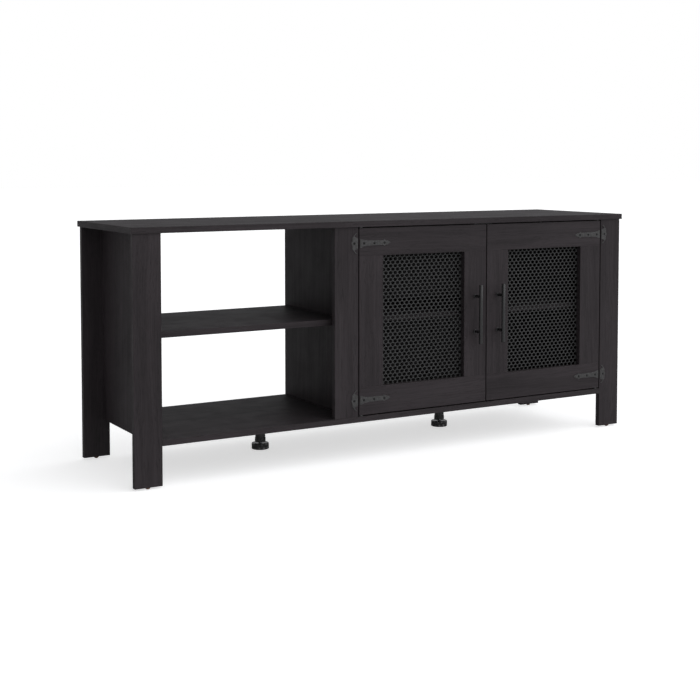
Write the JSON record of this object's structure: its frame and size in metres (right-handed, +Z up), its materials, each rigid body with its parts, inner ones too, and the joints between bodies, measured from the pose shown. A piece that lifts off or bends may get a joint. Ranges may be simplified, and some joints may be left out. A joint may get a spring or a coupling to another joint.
{
  "type": "tv stand with doors",
  "caption": "Low dark wood-grain TV stand with an open shelved bay, a cabinet behind perforated-metal doors, and levelling feet.",
  "frame": {"origin": "middle of the bounding box in X and Y, on the floor under the glides", "axes": "+X along the width, to the right as seen from the front; the doors face -Y; +Z up"},
  "size_m": [1.5, 0.417, 0.62],
  "materials": {
    "wenge_board": "satin wenge wood-grain foil on particleboard",
    "back_board": "matte dark hardboard",
    "hammered_iron": "satin dark grey",
    "mesh_steel": "satin dark grey",
    "handle_metal": "satin black",
    "dark_screws": "satin black",
    "birch_dowel": "plain birch",
    "glide_metal": "browned, worn",
    "foot_plastic": "gloss black",
    "catch_plastic": "matte black",
    "zinc_steel": "zinc plated"
  },
  "bodies": {
    "carcass": {"top_panel": "wenge_board", "base_panel": "wenge_board", "side_panel_left": "wenge_board", "side_panel_right": "wenge_board", "divider_panel": "wenge_board", "front_leg_left": "wenge_board", "front_leg_right": "wenge_board", "back_leg_left": "wenge_board", "back_leg_right": "wenge_board", "center_stile": "wenge_board", "open_shelf": "wenge_board", "cabinet_shelf": "wenge_board", "back_panel": "back_board", "shelf_pins": "zinc_steel", "leg_glides": "glide_metal", "cam_discs": "zinc_steel", "cam_bolts": "zinc_steel", "wood_dowels": "birch_dowel", "base_screws": "zinc_steel", "pivot_bushes": "catch_plastic", "hinge_plates": "hammered_iron", "plate_screws": "dark_screws", "catch_housing": "catch_plastic", "catch_magnets": "zinc_steel", "catch_screws": "zinc_steel", "foot_column_left": "foot_plastic", "foot_column_right": "foot_plastic", "foot_screws": "zinc_steel"},
    "left_door": {"left_top_rail": "wenge_board", "left_bottom_rail": "wenge_board", "left_hinge_stile": "wenge_board", "left_handle_stile": "wenge_board", "left_mesh_sheet": "mesh_steel", "left_mesh_screws": "zinc_steel", "left_handle_bar": "handle_metal", "left_handle_posts": "handle_metal", "left_handle_screws": "zinc_steel", "left_hinge_straps": "hammered_iron", "left_strap_screws": "dark_screws", "left_pivot_pins": "zinc_steel", "left_strike_plate": "zinc_steel", "left_frame_dowels": "birch_dowel"},
    "right_door": {"right_top_rail": "wenge_board", "right_bottom_rail": "wenge_board", "right_hinge_stile": "wenge_board", "right_handle_stile": "wenge_board", "right_mesh_sheet": "mesh_steel", "right_mesh_screws": "zinc_steel", "right_handle_bar": "handle_metal", "right_handle_posts": "handle_metal", "right_handle_screws": "zinc_steel", "right_hinge_straps": "hammered_iron", "right_strap_screws": "dark_screws", "right_pivot_pins": "zinc_steel", "right_strike_plate": "zinc_steel", "right_frame_dowels": "birch_dowel"},
    "left_foot": {"foot_stud_left": "zinc_steel", "foot_pad_left": "foot_plastic"},
    "right_foot": {"foot_stud_right": "zinc_steel", "foot_pad_right": "foot_plastic"}
  },
  "joints": [
    {"name": "left_door_hinge", "type": "hinge", "parent": "carcass", "child": "left_door", "pos_m": [-0.12581, -0.169, 0.36], "axis": [0, 0, -1], "range_deg": [0, 100]},
    {"name": "right_door_hinge", "type": "hinge", "parent": "carcass", "child": "right_door", "pos_m": [0.66381, -0.169, 0.36], "axis": [0, 0, 1], "range_deg": [0, 100]},
    {"name": "left_foot_screw", "type": "slide", "parent": "carcass", "child": "left_foot", "axis": [0, 0, -1], "range_m": [-0.002, 0.012]},
    {"name": "right_foot_screw", "type": "slide", "parent": "carcass", "child": "right_foot", "axis": [0, 0, -1], "range_m": [-0.002, 0.012]}
  ]
}
